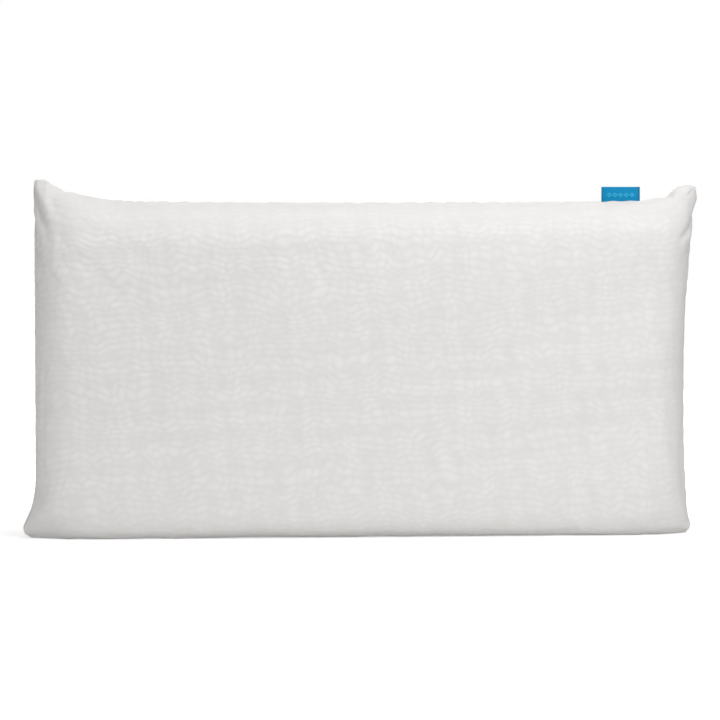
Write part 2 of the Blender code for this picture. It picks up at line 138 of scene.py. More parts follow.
# The knit's raised figure: one puff, the height left between two puffs of a row, how uneven the
# rows and puffs are and over what distance that changes, and how the figure fades at the seam
PUFF_LENGTH = 12.5 * MM
PUFF_HEIGHT = 8.2 * MM
PUFF_RISE = 0.62 * MM
PUFF_NECK = 0.2
ROW_LEAN, ROW_LEAN_SIZE = 0.6, 85 * MM
ROW_WAVE, ROW_WAVE_SIZE = 0.26, 26 * MM
ROW_SHUFFLE, ROW_SHUFFLE_STEP = 0.21, 2.4
PUFF_DRIFT, PUFF_DRIFT_SIZE = 0.45, 60 * MM
PUFF_UNEVEN, PUFF_UNEVEN_SIZE = 0.28, 34 * MM
PUFF_LEAST = 0.25
PUFF_AT_EDGE = 0.35
PUFF_EDGE_FADE = (30 * MM, 75 * MM)
PUFF_SEAM_FADE = (3 * MM, 9 * MM)

# The first seed of each kind of unevenness
PUCKER_SEED, LUMP_SEED, PUFF_SEED, SOFT_SEED = 11, 21, 31, 71

# The trial of the cloth under air pressure, and how much of its creases is kept where
CLOTH_STEPS = 16
CLOTH_QUALITY = 5
CLOTH_SPARE = 0.012
CLOTH_STIFFNESS = 80
CLOTH_PRESSURE = 4
CREASE_PASSES = 20
CREASE_CAP = 5 * MM
CREASE_KEEP = 0.45
CREASE_SEAM_FADE = (3 * MM, 25 * MM)
CREASE_ZIP_FADE = (25 * MM, 50 * MM)

# The liner's slightly uneven surface
LINER_CELL = 6 * MM
LINER_LUMPS = 0.15 * MM
LINER_LUMP_SIZE = 60 * MM

# Colours
# The knit's colour on its puffs, and a darker copy of it painted as shade into its valleys and, where
# the figure is weaker, near the seams
KNIT_VALLEY_PAINTED_SHADE, KNIT_PUFF = (0.79, 0.775, 0.76), (0.865, 0.855, 0.845)
RIBBON_BLUE, SELVEDGE_BLUE = (0.004, 0.270, 0.530), (0.006, 0.200, 0.380)
LOZENGE_BLUE = (0.040, 0.430, 0.680)
TAPE_WHITE = (0.80, 0.79, 0.78)
THREAD_WHITE = (0.80, 0.79, 0.78)
NYLON_WHITE = (0.78, 0.78, 0.77)
SATIN_WHITE = (0.88, 0.88, 0.88)
JERSEY_WHITE = (0.82, 0.82, 0.80)
# The foam's walls, and a darker copy of their colour painted into the cell hollows as shade
FOAM_HOLLOW_PAINTED_SHADE, FOAM_WALL = (0.86, 0.81, 0.64), (0.91, 0.87, 0.72)
ZINC_GREY = (0.60, 0.60, 0.61)
FLOOR_GREY = (0.92, 0.92, 0.92)
DAYLIGHT = (1, 0.985, 0.97)
WHITE = (1, 1, 1)

# Textures: noise and bands per metre as their nodes count them, and the foam's cells
FUZZ_FINE, FUZZ_BROAD = 1400, 55
TAPE_TWILL, SATIN_FLOATS = 60, 120
WAVE_NODE_BANDS = 20
FOAM_CELL = 1.1 * MM

# The floor glows from a dim middle to white, between two distances, for the camera alone
FLOOR_HALF = 12
FLOOR_GLOW_FROM, FLOOR_GLOW_TO = 0.45, 1.2
FLOOR_WHITE = 0.42
FLOOR_BOUNCE = 0.04
WORLD_LIGHT = 0.15

# Each softbox: name, place, size and power in watts
SOFTBOXES = (
    ("overhead", (0.2, -0.35, 2.0), 1.2, 21),
    ("key", (0.9, -1.7, 0.9), 0.8, 12.6),
    ("fill", (-2.2, -1.8, 1.2), 1.5, 15),
    ("back", (0.5, 2.4, 1.5), 1.5, 22),
)
LIGHT_AIM = Vector((0.05, 0, 0.2))

CAMERA_LENS = 173.4
CAMERA_SENSOR = 36
CAMERA_AIM = Vector((-0.0015, 0, 0.2024))
CAMERA_TURN = -4.6
CAMERA_DISTANCE = 4.0
CAMERA_HEIGHT = 0.39

# Each ear, in millimetres: its corner's radius, how far the side is drawn out and over what length,
# the same again for the tip alone, how far the top is drawn up and over what length, and the share
# of that which fills the tip out to a blunt end, with the two distances between which it fades, and
# the share of the sideways draw that is missing right at the corner
Ear = namedtuple(
    "Ear", "side end radius out side_reach tip tip_reach up top_reach blunt blunt_from blunt_to hold"
)
EARS = (
    Ear(-1, 1, 4.5, 0.6, 60, 0.8, 12, 23.5, 117, 0.22, 12, 24, 0.1),
    Ear(1, 1, 9, 14, 198, 7.8, 25, 17.7, 56, 0.26, 11, 34, 0.21),
    Ear(-1, -1, 6, 19, 70, 0, 20, 0, 60, 0, 10, 20, 0.45),
    Ear(1, -1, 6, 7.5, 150, 8, 30, 0, 60, 0, 10, 20, 0.5),
)
TIP_LIFT = 13 * MM
EAR_DEPTH = 50 * MM
EAR_THIN = 0.45
EAR_THIN_REACH = 24 * MM

# Folds that the ears pull into the cloth: side, end, then two points as lengths of cloth from that
# side's seam and from that end's seam, and the fold's width and height, all in millimetres
FOLDS = (
    (1, 1, (60, -4), (52, 26), 4.2, -2.8),
    (1, 1, (45, 0), (37, 36), 7.0, 1.0),
    (1, 1, (3, 50), (42, 76), 4.0, -2.4),
    (1, 1, (20, 70), (46, 86), 4.5, 1.2),
    (1, 1, (3, 78), (40, 98), 4.0, -1.8),
    (1, 1, (8, 94), (7, 200), 4.0, -1.4),
    (-1, 1, (6, 2), (8, 36), 2.6, -2.4),
    (-1, 1, (18, 36), (44, 66), 5.0, -2.0),
    (-1, 1, (28, 26), (56, 58), 7.0, 1.3),
    (-1, 1, (12, 52), (13, 84), 3.2, 1.1),
    (-1, 1, (24, 78), (25, 106), 3.2, 1.1),
    (-1, 1, (36, 108), (33, 138), 5.0, -1.2),
    (-1, 1, (58, 0), (50, 20), 5.0, 1.6),
    (-1, 1, (70, 0), (64, 18), 4.0, -1.6),
    (-1, -1, (18, 36), (74, 104), 13.0, 1.7),
    (-1, -1, (72, 80), (114, 88), 4.5, -0.9),
    (-1, -1, (36, 84), (34, 150), 5.0, -0.8),
    (1, -1, (20, 40), (64, 96), 12.0, 1.4),
    (1, -1, (34, 84), (30, 150), 5.0, -0.8),
)


# Curves and noise


def ramp(value, start, end):
    """0 at the start and 1 at the end, with a smooth run between them."""
    part = np.clip((value - start) / (end - start), 0, 1)
    return part * part * (3 - 2 * part)


def between(value, rise, drop):
    """1 between two fades and 0 outside them; each fade is a pair of values."""
    return ramp(value, *rise) * ramp(-value, -drop[1], -drop[0])


def fall(distance, reach):
    """1 at no distance, and 0 from the reach outwards."""
    return (1 - np.clip(distance / reach, 0, 1)) ** 2


def soft_floor(value, floor, softness):
    """The value, eased so that it never goes below the floor."""
    over = value - floor
    return floor + (over + np.sqrt(over * over + softness * softness)) / 2


def waver(x, z, wavelength, seed, waves=7):
    """Smooth noise between about -1 and 1: a few seeded waves in all directions."""
    random = np.random.default_rng(seed)
    total = np.zeros(np.broadcast(x, z).shape)
    for _ in range(waves):
        angle, phase = random.uniform(0, 2 * math.pi, 2)
        length = wavelength * random.uniform(0.7, 1.6)
        total += np.sin(2 * math.pi * (x * math.cos(angle) + z * math.sin(angle)) / length + phase)
    return total / math.sqrt(waves)


def distance_to_line(a, b, start, end):
    """Distance to the straight line through two points, and the share of the way along it."""
    direction = np.subtract(end, start)
    length = np.hypot(*direction)
    along = ((a - start[0]) * direction[0] + (b - start[1]) * direction[1]) / length**2
    across = ((a - start[0]) * direction[1] - (b - start[1]) * direction[0]) / length
    return across, along


# The cover's smooth form: arrays whose rows go up the pillow and columns from the zip to the right


def edge_stations():
    """Distance in from the seam, share of the thickness and length of cloth, round one edge."""
    turn = np.linspace(0, math.pi / 2, EDGE_SAMPLES)
    power = 2 / EDGE_SQUARENESS
    inward = EDGE_ROUND * (1 - np.clip(np.cos(turn), 0, 1) ** power)
    share = np.sin(turn) ** power
    step = np.hypot(np.diff(inward), EDGE_HALF * np.diff(share))
    cloth = np.concatenate([[0], np.cumsum(step)])
    at = cloth[-1] * np.linspace(0, 1, EDGE_CELLS + 1) ** SEAM_CROWDING
    return np.interp(at, cloth, inward), np.interp(at, cloth, share), at


def stations(length):
    """The same from one edge to the opposite one, for a body of this length."""
    inward, share, cloth = edge_stations()
    middle = length - 2 * EDGE_ROUND
    cells = 2 * round(middle / CELL / 2)
    flat = EDGE_ROUND + middle * np.arange(1, cells) / cells
    place = np.concatenate([inward, flat, length - inward[::-1]])
    shares = np.concatenate([share, np.ones(cells - 1), share[::-1]])
    far_run = 2 * cloth[-1] + middle - cloth[::-1]
    run = np.concatenate([cloth, cloth[-1] + flat - EDGE_ROUND, far_run])
    return place, shares, run


def draw_out_ears(x, y, z):
    """Rounds the four corners and draws them out, and thins them to two layers of cloth."""
    new_x, new_y, new_z = x.copy(), y.copy(), z.copy()
    for ear in EARS:
        dx = HALF_LENGTH - ear.side * x
        dz = TOP - z if ear.end > 0 else z
        radius = ear.radius * MM
        near_x, near_z = np.clip(1 - dx / radius, 0, 1), np.clip(1 - dz / radius, 0, 1)
        squash = np.maximum(near_x, near_z) / np.maximum(np.hypot(near_x, near_z), 1e-9) - 1
        new_x += ear.side * radius * near_x * np.minimum(squash, 0)
        new_z += ear.end * radius * near_z * np.minimum(squash, 0)
        side_out = ear.out * fall(dz, ear.side_reach * MM)
        out = side_out + ear.tip * fall(dz, ear.tip_reach * MM)
        out = out * (1 - ear.hold * (1 - ramp(dz, 0, TIP_LIFT)))
        new_x += ear.side * out * MM * fall(dx, EAR_DEPTH)
        filled = ear.blunt * (1 - ramp(dx, ear.blunt_from * MM, ear.blunt_to * MM))
        up = ear.up * np.minimum(fall(dx, ear.top_reach * MM) + filled, 1)
        new_z += ear.end * up * MM * fall(dz, EAR_DEPTH)
        new_y *= 1 - EAR_THIN * np.exp(-(dx**2 + dz**2) / (2 * EAR_THIN_REACH**2))
    return new_x, new_y, new_z


def body_form(side):
    """The smooth panel as places, with each one's length of cloth from the left and bottom seams
    and how far it lies in the zip's slot."""
    place_x, share_x, run_x = stations(2 * HALF_LENGTH)
    place_z, share_z, run_z = stations(TOP)
    x, z = np.meshgrid(place_x - HALF_LENGTH, place_z)
    share = np.outer(share_z, share_x)
    across = np.clip(1 - (x / HALF_LENGTH) ** 2, 0, 1)
    bulge = across * np.clip(1 - (2 * z / TOP - 1) ** 2, 0, 1)
    y = (EDGE_HALF + (CROWN_HALF - EDGE_HALF) * bulge**CROWN_FULLNESS) * share
    x = x - ZIP_SIDE_PRESS * share_z[:, None] * fall(x + HALF_LENGTH, PRESS_REACH)
    z = z - FLOOR_PRESS * share_x[None, :] * fall(z, PRESS_REACH)
    x, z = soft_floor(x, -HALF_LENGTH, ZIP_SIDE_EASE), soft_floor(z, 0.0, FLOOR_EASE)
    x, y, z = draw_out_ears(x, y, z)
    z = z - TOP_SAG * np.clip(1 - (x / HALF_LENGTH) ** 2, 0, 1) * z / TOP

    at_zip = ramp(-x, HALF_LENGTH - VALLEY_SIDE_FADE[0], HALF_LENGTH - VALLEY_SIDE_FADE[1])
    valley = at_zip * (1 - ramp(y, *VALLEY_HALF_FADE))
    valley = valley * between(z, VALLEY_FOOT_FADE, VALLEY_HEAD_FADE)
    x = x + (VALLEY_X + HALF_LENGTH) * valley
    opened = at_zip * between(z, SLOT_FOOT_FADE, SLOT_HEAD_FADE)
    y = y + (SLOT_HALF - SEAM_HALF) * opened * np.clip(1 - y / SLOT_DEPTH, 0, 1)
    label_left = (label_low.x - LABEL_ROOM_MARGIN, label_low.x)
    label_right = (label_high.x, label_high.x + LABEL_ROOM_MARGIN)
    at_label = between(x, label_left, label_right) * ramp(z, *LABEL_ROOM_FADE)
    y = y + LABEL_ROOM * at_label * np.clip(1 - y / LABEL_ROOM_DEPTH, 0, 1)
    form = np.stack([x, side * (y + SEAM_HALF), z], axis=-1)
    extra = np.stack([*np.meshgrid(run_x, run_z), opened], axis=-1)
    return form, extra


def refine(grid):
    """Twice the rows and columns, on smooth curves through the old ones."""
    for axis in (0, 1):
        old = np.moveaxis(grid, axis, 0)
        wide = np.concatenate([2 * old[:1] - old[1:2], old, 2 * old[-1:] - old[-2:-1]])
        new = np.empty((2 * len(old) - 1, *old.shape[1:]))
        new[::2] = old
        new[1::2] = (9 * (wide[1:-2] + wide[2:-1]) - wide[:-3] - wide[3:]) / 16
        grid = np.moveaxis(new, 0, axis)
    return grid


def smoothed(grid, passes):
    """The grid with its short waves taken out."""
    for _ in range(passes):
        for axis in (0, 1):
            grid = np.moveaxis(grid, axis, 0)
            wide = np.concatenate([grid[:1], grid, grid[-1:]])
            grid = np.moveaxis((wide[:-2] + 2 * wide[1:-1] + wide[2:]) / 4, 0, axis)
    return grid


def outward(form, side):
    """Unit normals that point out of the pillow."""
    across, up = np.gradient(form, axis=1), np.gradient(form, axis=0)
    normal = -side * np.cross(across, up)
    return normal / np.maximum(np.linalg.norm(normal, axis=-1, keepdims=True), 1e-12)


def inset(form, side, depth):
    """The same panel moved in by a depth, kept on its own side of the seam plane."""
    moved = form - depth * outward(form, side)
    moved[..., 1] = side * np.maximum(side * moved[..., 1], SEAM_HALF)
    return moved


# The relief of its cloth


def folds(run_x, run_z):
    """Height of the folds at the ears."""
    total = np.zeros(run_x.shape)
    for side, end, start, stop, width, height in FOLDS:
        a = (run_x.max() - run_x if side > 0 else run_x) / MM
        b = (run_z.max() - run_z if end > 0 else run_z) / MM
        across, along = distance_to_line(a, b, start, stop)
        fade = ramp(along, -0.25, 0.15) * ramp(-along, -1.25, -0.75)
        total += height * MM * np.exp(-((across / width) ** 2)) * fade
    return total


def blisters(run_x, run_z, seed):
    """The raised figure of the knit: wavering rows of long puffs, from 0 in the valleys to 1."""
    lean = ROW_LEAN * waver(run_x, run_z, ROW_LEAN_SIZE, seed)
    drift = PUFF_DRIFT * waver(run_x, run_z, PUFF_DRIFT_SIZE, seed + 1)
    wave = ROW_WAVE * waver(run_x, run_z, ROW_WAVE_SIZE, seed + 2)
    uneven = PUFF_UNEVEN * waver(run_x, run_z, PUFF_UNEVEN_SIZE, seed + 3)
    up = run_z / PUFF_HEIGHT + lean + wave
    row = np.floor(up)
    shift = 0.5 * row + ROW_SHUFFLE * np.sin(ROW_SHUFFLE_STEP * row + seed)
    along = run_x / PUFF_LENGTH + drift + shift
    neck = PUFF_NECK + (1 - PUFF_NECK) * np.abs(np.sin(math.pi * along)) ** 0.5
    puff = neck * np.sin(math.pi * (up - row)) ** 0.6
    return puff * np.clip(1 - PUFF_UNEVEN + uneven, PUFF_LEAST, 1)


def fine_relief(form, extra, side):
    """Adds the seam's groove, its puckers, the folds and the knit's figure to a refined panel."""
    run_x, run_z, opened = np.moveaxis(extra, -1, 0)
    from_side = np.minimum(run_x, run_x.max() - run_x)
    from_end = np.minimum(run_z, run_z.max() - run_z)
    sewn_side = np.minimum(run_x + SLOT_IS_FREE * opened, run_x.max() - run_x)
    seam = np.minimum(sewn_side, from_end)
    past_tip = ramp(np.hypot(from_side, from_end), *SEAM_TIP_FADE)
    groove = -SEAM_GROOVE * np.exp(-((seam / SEAM_GROOVE_WIDTH) ** 2)) * past_tip
    along = np.where(from_side < from_end, run_z, run_x)
    pucker = waver(along, seam * PUCKER_STRETCH, PUCKER_SPACING, PUCKER_SEED + side)
    pucker = PUCKER_RISE * pucker * np.exp(-seam / PUCKER_REACH) * past_tip
    lumps = LUMP_RISE * waver(run_x, run_z, LUMP_SIZE, LUMP_SEED + side) * ramp(seam, *LUMP_FADE)
    puff = blisters(run_x, run_z, PUFF_SEED + side)
    strength = PUFF_AT_EDGE + (1 - PUFF_AT_EDGE) * ramp(seam, *PUFF_EDGE_FADE)
    relief = groove + (pucker + lumps + folds(run_x, run_z)) * (1 - opened)
    relief = relief + PUFF_RISE * (puff - 0.5) * strength * ramp(seam, *PUFF_SEAM_FADE)
    relief = relief * ramp(form[..., 2], *FLOOR_FADE)
    placed = form + relief[..., None] * outward(form, side)
    placed[..., 2] = np.maximum(placed[..., 2], FLOOR_GAP)
    placed[..., 1] = side * np.maximum(side * placed[..., 1], SEAM_HALF)
    return placed, puff * strength


# Meshes of the cover, and the trial that creases it


def joined_grids(bm, shapes):
    """Two flat grids, two units wide, at the given heights, joined round their borders."""
    borders = []
    for height, (rows, columns) in shapes.items():
        grid = bmesh.ops.create_grid(
            bm,
            x_segments=columns - 1,
            y_segments=rows - 1,
            size=1,
            matrix=Matrix.Translation((0, 0, height)),
        )
        edges = dict.fromkeys(edge for v in grid["verts"] for edge in v.link_edges)
        borders += [edge for edge in edges if edge.is_boundary]
    bmesh.ops.bridge_loops(bm, edges=borders)


def turn_outwards(bm):
    """Makes the faces of a closed mesh point outwards."""
    bmesh.ops.recalc_face_normals(bm, faces=bm.faces)
    if bm.calc_volume(signed=True) < 0:
        bmesh.ops.reverse_faces(bm, faces=bm.faces)


def sewn_cover(forms):
    """Both panels as one closed mesh, welded at the seam; each point keeps its side, row and column."""
    bm = bmesh.new()
    station = bm.verts.layers.float_vector.new("station")
    joined_grids(bm, {side: form.shape[:2] for side, form in forms.items()})
    for v in bm.verts:
        side = round(v.co.z)
        rows, columns = forms[side].shape[:2]
        row = round((v.co.y + 1) / 2 * (rows - 1))
        column = round((v.co.x + 1) / 2 * (columns - 1))
        v[station] = (side, row, column)
        v.co = forms[side][row, column]
    bmesh.ops.remove_doubles(bm, verts=bm.verts, dist=0.5 * MM)
    turn_outwards(bm)
    return bm


def inflated(forms):
    """How far each point moves when cloth cut a little too large is blown up inside its seam."""
    bm = sewn_cover(forms)
    station = bm.verts.layers.float_vector["station"]
    points = [tuple(round(value) for value in v[station]) for v in bm.verts]
    mesh = bpy.data.meshes.new("trial_cover")
    bm.to_mesh(mesh)
    bm.free()
    trial = bpy.data.objects.new("trial_cover", mesh)
    scene = bpy.context.scene
    scene.collection.objects.link(trial)
    rows, columns = forms[1].shape[:2]
    seam = [
        index
        for index, (_, row, column) in enumerate(points)
        if row in (0, rows - 1) or column in (0, columns - 1)
    ]
    trial.vertex_groups.new(name="seam").add(seam, 1.0, "REPLACE")
    cloth = trial.modifiers.new("air", "CLOTH")
    cloth.point_cache.frame_start, cloth.point_cache.frame_end = 1, CLOTH_STEPS
    cloth.settings.quality = CLOTH_QUALITY
    cloth.settings.vertex_group_mass = "seam"
    cloth.settings.shrink_min = -CLOTH_SPARE
    cloth.settings.use_pressure = True
    cloth.settings.uniform_pressure_force = CLOTH_PRESSURE
    cloth.settings.tension_stiffness = CLOTH_STIFFNESS
    cloth.settings.compression_stiffness = CLOTH_STIFFNESS
    cloth.settings.shear_stiffness = CLOTH_STIFFNESS
    cloth.settings.effector_weights.gravity = 0
    for step in range(1, CLOTH_STEPS + 1):
        scene.frame_set(step)
    moved = trial.evaluated_get(bpy.context.evaluated_depsgraph_get()).to_mesh()
    moves = {side: np.zeros(form.shape) for side, form in forms.items()}
    for (side, row, column), old, new in zip(points, mesh.vertices, moved.vertices):
        moves[side][row, column] = new.co - old.co
    bpy.data.objects.remove(trial)
    scene.frame_set(1)
    return moves


def creases(forms):
    """The creases of the blown-up cover, without its even swelling and with each move capped."""
    halves = {side: form[::2, ::2] for side, form in forms.items()}
    result = {}
    for side, move in inflated(halves).items():
        detail = move - smoothed(move, CREASE_PASSES)
        length = np.linalg.norm(detail, axis=-1, keepdims=True)
        result[side] = CREASE_KEEP * refine(detail * CREASE_CAP / (CREASE_CAP + length))
    return result


def add_piece(name, data, material):
    """Adds a piece that rides on the cushion."""
    data.materials.append(material)
    piece = bpy.data.objects.new(name, data)
    bpy.context.scene.collection.objects.link(piece)
    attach(piece, "cushion")
    return piece


def new_piece(name, bm, material):
    """The same from a bmesh, which it uses up."""
    mesh = bpy.data.meshes.new(name)
    bm.to_mesh(mesh)
    bm.free()
    mesh.shade_smooth()
    return add_piece(name, mesh, material)


def cloth_shell(name, outer, inner, cloth, material):
    """A closed panel: the fine outer face, the lining face and the rim that joins them."""
    bm = bmesh.new()
    joined_grids(bm, {1: outer.shape[:2], -1: inner.shape[:2]})
    layer = bm.verts.layers.float_vector.new("cloth")
    for v in bm.verts:
        places = outer if v.co.z > 0 else inner
        rows, columns = places.shape[:2]
        right, up = (v.co.x + 1) / 2, (v.co.y + 1) / 2
        v.co = places[round(up * (rows - 1)), round(right * (columns - 1))]
        rows, columns = cloth.shape[:2]
        v[layer] = cloth[round(up * (rows - 1)), round(right * (columns - 1))]
    turn_outwards(bm)
    return new_piece(name, bm, material)


def cover_panel(name, side, form, extra, crease, material):
    """One finished panel, creased where neither the seam nor the zip holds its cloth."""
    run_x, run_z, _ = np.moveaxis(extra, -1, 0)
    from_side = np.minimum(run_x, run_x.max() - run_x)
    seam = np.minimum(from_side, np.minimum(run_z, run_z.max() - run_z))
    free = ramp(seam, *CREASE_SEAM_FADE) * ramp(run_x, *CREASE_ZIP_FADE)
    form = form + crease * free[..., None]
    fine_form, fine_extra = refine(form), refine(extra)
    outer, puff = fine_relief(fine_form, fine_extra, side)
    # The third value, the figure's height times its strength, sets the painted valley shade in the
    # knit's colour, which also darkens the cloth near the seams
    cloth = np.concatenate([fine_extra[..., :2], puff[..., None]], axis=-1)
    inner = inset(form, side, PANEL_DEPTH)
    return cloth_shell(name, outer, inner, cloth, material)


# Materials


def group(name, inputs, outputs):
    """An empty shader group with named sockets; returns its tree, its inputs and its outputs."""
    tree = bpy.data.node_groups.new(name, "ShaderNodeTree")
    for title, kind, value in inputs:
        socket = tree.interface.new_socket(title, in_out="INPUT", socket_type=kind)
        socket.default_value = value
    for title, kind in outputs:
        tree.interface.new_socket(title, in_out="OUTPUT", socket_type=kind)
    start, end = tree.nodes.new("NodeGroupInput"), tree.nodes.new("NodeGroupOutput")
    return tree, start.outputs, end.inputs


def maths(tree, operation, a, b=None, c=None):
    """A Math node; each value is a number or another node's output."""
    node = tree.nodes.new("ShaderNodeMath")
    node.operation = operation
    for socket, value in zip(node.inputs, (a, b, c)):
        if isinstance(value, bpy.types.NodeSocket):
            tree.links.new(value, socket)
        elif value is not None:
            socket.default_value = value
    return node.outputs[0]


def split(tree, vector):
    """The three parts of a vector."""
    node = tree.nodes.new("ShaderNodeSeparateXYZ")
    tree.links.new(vector, node.inputs[0])
    return node.outputs


def stitch_group():
    """Knitted loops: columns of small V shapes, on coordinates in metres."""
    tree, given, made = group(
        "knit_loops",
        [
            ("Cloth", "NodeSocketVector", (0, 0, 0)),
            ("Wale", "NodeSocketFloat", 1.3 * MM),
            ("Course", "NodeSocketFloat", 1.0 * MM),
        ],
        [("Height", "NodeSocketFloat")],
    )
    place = split(tree, given["Cloth"])
    across = maths(tree, "FRACT", maths(tree, "DIVIDE", place[0], given["Wale"]))
    bend = maths(tree, "ABSOLUTE", maths(tree, "SUBTRACT", across, 0.5))
    climb = maths(tree, "ADD", maths(tree, "DIVIDE", place[1], given["Course"]), bend)
    loop = maths(tree, "SINE", maths(tree, "MULTIPLY", climb, 2 * math.pi))
    rib = maths(tree, "SINE", maths(tree, "MULTIPLY", across, 4 * math.pi))
    both = maths(tree, "ADD", maths(tree, "MULTIPLY", loop, 0.5), maths(tree, "MULTIPLY", rib, 0.4))
    tree.links.new(both, made["Height"])
    return tree


def fuzz_group():
    """The soft uneven surface and slight shade of spun yarn."""
    tree, given, made = group(
        "yarn_fuzz",
        [
            ("Place", "NodeSocketVector", (0, 0, 0)),
            ("Colour", "NodeSocketColor", (0.8, 0.8, 0.8, 1)),
            ("Shade", "NodeSocketFloat", 0.04),
        ],
        [("Colour", "NodeSocketColor"), ("Height", "NodeSocketFloat")],
    )
    noises = []
    for scale, detail in ((FUZZ_FINE, 2), (FUZZ_BROAD, 4)):
        noise = tree.nodes.new("ShaderNodeTexNoise")
        noise.inputs["Scale"].default_value = scale
        noise.inputs["Detail"].default_value = detail
        tree.links.new(given["Place"], noise.inputs["Vector"])
        noises.append(noise.outputs["Fac"])
    fine, broad = noises
    amount = maths(tree, "MULTIPLY", maths(tree, "SUBTRACT", broad, 0.5), given["Shade"])
    bright = maths(tree, "ADD", maths(tree, "MULTIPLY", amount, 2), 1)
    tint = tree.nodes.new("ShaderNodeVectorMath")
    tint.operation = "SCALE"
    tree.links.new(given["Colour"], tint.inputs[0])
    tree.links.new(bright, tint.inputs["Scale"])
    tree.links.new(tint.outputs[0], made["Colour"])
    tree.links.new(fine, made["Height"])
    return tree


class Finish:
    """A Principled material that is built up step by step."""

    def __init__(self, name, roughness, metallic=0.0, sheen=0.0):
        self.material = bpy.data.materials.new(name)
        self.material.use_nodes = True
        self.tree = self.material.node_tree
        self.shader = self.tree.nodes["Principled BSDF"]
        self.shader.inputs["Roughness"].default_value = roughness
        self.shader.inputs["Metallic"].default_value = metallic
        self.shader.inputs["Sheen Weight"].default_value = sheen

    def node(self, kind):
        return self.tree.nodes.new(kind)

    def fill(self, socket, value):
        """Sets a socket to a number or a colour, or links another node's output to it."""
        if isinstance(value, bpy.types.NodeSocket):
            self.tree.links.new(value, socket)
        elif isinstance(value, tuple):
            socket.default_value = (*value, 1)
        else:
            socket.default_value = value

    def place(self):
        return self.node("ShaderNodeTexCoord").outputs["Object"]

    def attribute(self, name):
        node = self.node("ShaderNodeAttribute")
        node.attribute_name = name
        return node.outputs["Vector"]

    def use(self, tree, **values):
        """Places a shader group and fills its inputs."""
        node = self.node("ShaderNodeGroup")
        node.node_tree = tree
        for name, value in values.items():
            self.fill(node.inputs[name], value)
        return node.outputs

    def mixed(self, amount, low, high):
        """A blend of two colours by a mask."""
        node = self.node("ShaderNodeMix")
        node.data_type = "RGBA"
        for name, value in (("A", low), ("B", high), ("Factor", amount)):
            self.fill(node.inputs[name], value)
        return node.outputs["Result"]

    def bands(self, direction, scale):
        """Fine parallel bands in the object's space, as a height."""
        wave = self.node("ShaderNodeTexWave")
        wave.bands_direction = direction
        wave.inputs["Scale"].default_value = scale
        self.tree.links.new(self.place(), wave.inputs["Vector"])
        return wave.outputs["Fac"]

    def colour(self, output):
        self.tree.links.new(output, self.shader.inputs["Base Color"])

    def bump(self, height, distance):
        """Adds relief of a real depth in metres on top of the relief there already is."""
        node = self.node("ShaderNodeBump")
        node.inputs["Distance"].default_value = distance
        self.tree.links.new(height, node.inputs["Height"])
        normal = self.shader.inputs["Normal"]
        if normal.is_linked:
            self.tree.links.new(normal.links[0].from_socket, node.inputs["Normal"])
        self.tree.links.new(node.outputs["Normal"], normal)


def knit_cloth(loops, fuzz):
    """White blister knit, with shade painted into its valleys: there its colour is a little darker than
    on its puffs.
    """
    made = Finish("knit_cloth", 0.95)
    cloth = made.attribute("cloth")
    # The figure's height picks between the puff colour and the painted valley shade
    puff = split(made.tree, cloth)[2]
    shade = made.mixed(puff, KNIT_VALLEY_PAINTED_SHADE, KNIT_PUFF)
    yarn = made.use(fuzz, Place=made.place(), Colour=shade, Shade=0.02)
    made.colour(yarn["Colour"])
    made.bump(made.use(loops, Cloth=cloth)["Height"], 0.05 * MM)
    made.bump(yarn["Height"], 0.04 * MM)
    return made.material


def ribbon_cloth(fuzz):
    """Blue satin ribbon with a woven chain of lozenges and darker selvedges."""
    made = Finish("label_ribbon", 0.6)
    made.shader.inputs["Specular IOR Level"].default_value = 0.15
    tree, place = made.tree, made.place()
    x, _, z = split(tree, place)
    from_middle = maths(tree, "SUBTRACT", x, (label_low.x + label_high.x) / 2)
    sideways = maths(tree, "ABSOLUTE", from_middle)
    upward = maths(tree, "ABSOLUTE", maths(tree, "SUBTRACT", z, LOZENGE_Z))
    along = maths(tree, "PINGPONG", from_middle, LOZENGE / 2)
    along = maths(tree, "DIVIDE", along, LOZENGE / 2)
    reach = maths(tree, "ADD", along, maths(tree, "DIVIDE", upward, LOZENGE_HALF))
    solid = maths(tree, "LESS_THAN", reach, 1)
    ring = maths(tree, "MULTIPLY", solid, maths(tree, "GREATER_THAN", reach, LOZENGE_HOLE))
    inside = maths(tree, "LESS_THAN", sideways, LOZENGE_COUNT / 2 * LOZENGE)
    figure = maths(tree, "MULTIPLY", ring, inside)
    edge = maths(tree, "GREATER_THAN", sideways, label_half - RIBBON_SELVEDGE)
    shade = made.mixed(figure, made.mixed(edge, RIBBON_BLUE, SELVEDGE_BLUE), LOZENGE_BLUE)
    made.colour(made.use(fuzz, Place=place, Colour=shade, Shade=0.05)["Colour"])
    made.bump(made.bands("Z", 1 / RIBBON_RIB / WAVE_NODE_BANDS), 0.05 * MM)
    made.bump(figure, 0.12 * MM)
    return made.material


def woven_tape(fuzz):
    """The zip's twill tape."""
    made = Finish("woven_tape", 0.85)
    made.colour(made.use(fuzz, Place=made.place(), Colour=TAPE_WHITE, Shade=0.05)["Colour"])
    made.bump(made.bands("DIAGONAL", TAPE_TWILL), 0.08 * MM)
    return made.material


def satin_cloth(fuzz):
    """The care label's white satin: fine glossy floats that run across it."""
    made = Finish("care_satin", 0.4, sheen=0.1)
    made.colour(made.use(fuzz, Place=made.place(), Colour=SATIN_WHITE, Shade=0.03)["Colour"])
    made.bump(made.bands("Z", SATIN_FLOATS), 0.03 * MM)
    return made.material


